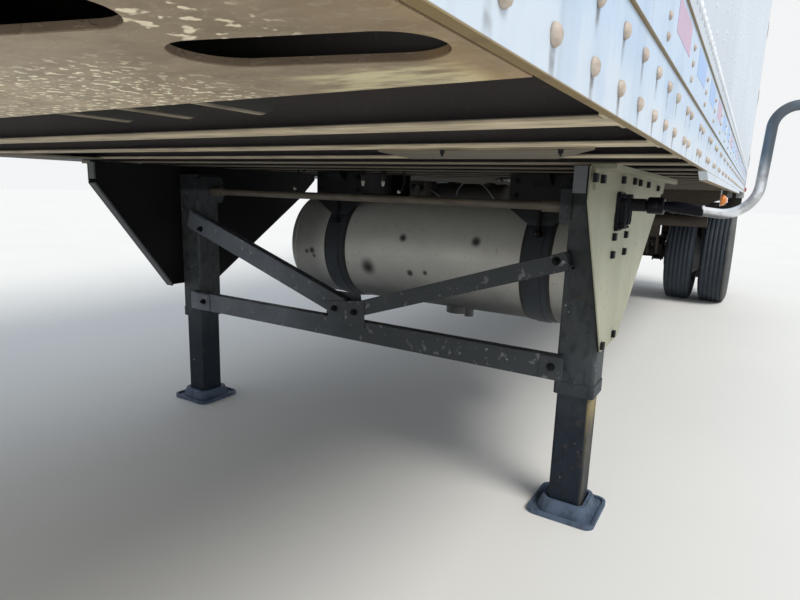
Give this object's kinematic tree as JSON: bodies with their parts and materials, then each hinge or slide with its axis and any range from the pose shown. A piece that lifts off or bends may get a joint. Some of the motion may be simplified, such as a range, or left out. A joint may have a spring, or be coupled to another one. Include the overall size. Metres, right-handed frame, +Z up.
{
  "type": "semi trailer",
  "caption": "Single-axle refrigerated van semi trailer parked on its landing gear, with swinging rear doors, free-turning dual wheels, kingpin, crank, fuel tank and nose unit.",
  "frame": {"origin": "on the kingpin's axis, in the plane of the coupler plate's underside", "axes": "+X forward to the nose, +Y to the left side, +Z up; the ground is at z = -1.202 m"},
  "size_m": [9.6493, 2.936, 4.115],
  "materials": {
    "coupler_steel": "worn black paint over brown rust",
    "pin_steel": "greased, turned",
    "chassis_black": "dusty black paint",
    "white_aluminium": "white paint on sheet aluminium, dirty at its foot",
    "bare_aluminium": "weathered mill finish",
    "roof_aluminium": "weathered sheet",
    "deck_underside": "dark grey composite pan below, aluminium deck above",
    "frame_steel": "light grey paint, chipped",
    "galvanised_steel": "dull zinc",
    "unit_white": "white gloss paint",
    "grille_black": "matt black",
    "leg_paint": "worn dark paint with rust",
    "wing_cream": "cream paint with rust streaks",
    "shaft_steel": "light surface rust",
    "bare_steel": "worn bright by hand",
    "tank_aluminium": "dull, stained",
    "strap_black": "black paint over a rubber liner",
    "tyre_rubber": "dusty tread",
    "wheel_white": "dirty white paint",
    "hub_iron": "brown with brake dust",
    "flap_rubber": "matt black",
    "amber_lens": "clear amber",
    "red_lens": "clear red"
  },
  "bodies": {
    "trailer": {"air_brakes": "chassis_black", "axle": "chassis_black", "coupler_gussets": "coupler_steel", "coupler_plate": "coupler_steel", "crank": "bare_steel", "cross_members": "chassis_black", "cross_shaft": "shaft_steel", "dock_bumpers": "flap_rubber", "door_fittings": "frame_steel", "feet": "leg_paint", "flap_hangers": "chassis_black", "floor": "deck_underside", "front_connectors": "galvanised_steel", "fuel_tank": "tank_aluminium", "gearbox": "leg_paint", "kingpin": "pin_steel", "lamp_brackets": "galvanised_steel", "leaf_springs": "chassis_black", "leg_brace": "leg_paint", "leg_inner_tubes": "leg_paint", "leg_tubes": "leg_paint", "lower_rails": "white_aluminium", "marker_lamps": "amber_lens", "mud_flaps": "flap_rubber", "nose_wall": "white_aluminium", "rear_frame": "frame_steel", "rear_guard": "frame_steel", "roof": "roof_aluminium", "side_rails": "white_aluminium", "side_wall_left": "white_aluminium", "side_wall_right": "white_aluminium", "spring_hangers": "chassis_black", "subframe": "chassis_black", "tail_lamps": "red_lens", "tank_mountings": "strap_black", "top_rails": "bare_aluminium", "unit_grille": "grille_black", "unit_housing": "unit_white", "wing_plates": "wing_cream"},
    "door_left": {"door_left": "white_aluminium", "door_hardware_left": "galvanised_steel"},
    "door_right": {"door_right": "white_aluminium", "door_hardware_right": "galvanised_steel"},
    "wheels_left": {"tyre_left_inner": "tyre_rubber", "tyre_left_outer": "tyre_rubber", "wheels_left": "wheel_white", "hub_left": "hub_iron"},
    "wheels_right": {"tyre_right_inner": "tyre_rubber", "tyre_right_outer": "tyre_rubber", "wheels_right": "wheel_white", "hub_right": "hub_iron"}
  },
  "joints": [
    {"name": "door_left_hinge", "type": "hinge", "parent": "trailer", "child": "door_left", "pos_m": [-8.254, 1.2855, 1.4], "axis": [0, 0, -1], "range_deg": [0, 255]},
    {"name": "door_right_hinge", "type": "hinge", "parent": "trailer", "child": "door_right", "pos_m": [-8.254, -1.2855, 1.4], "axis": [0, 0, 1], "range_deg": [0, 255]},
    {"name": "wheels_left_spin", "type": "hinge", "parent": "trailer", "child": "wheels_left", "pos_m": [-7.356, 0.963, -0.697], "axis": [0, 1, 0], "continuous": true},
    {"name": "wheels_right_spin", "type": "hinge", "parent": "trailer", "child": "wheels_right", "pos_m": [-7.356, -0.963, -0.697], "axis": [0, 1, 0], "continuous": true}
  ]
}
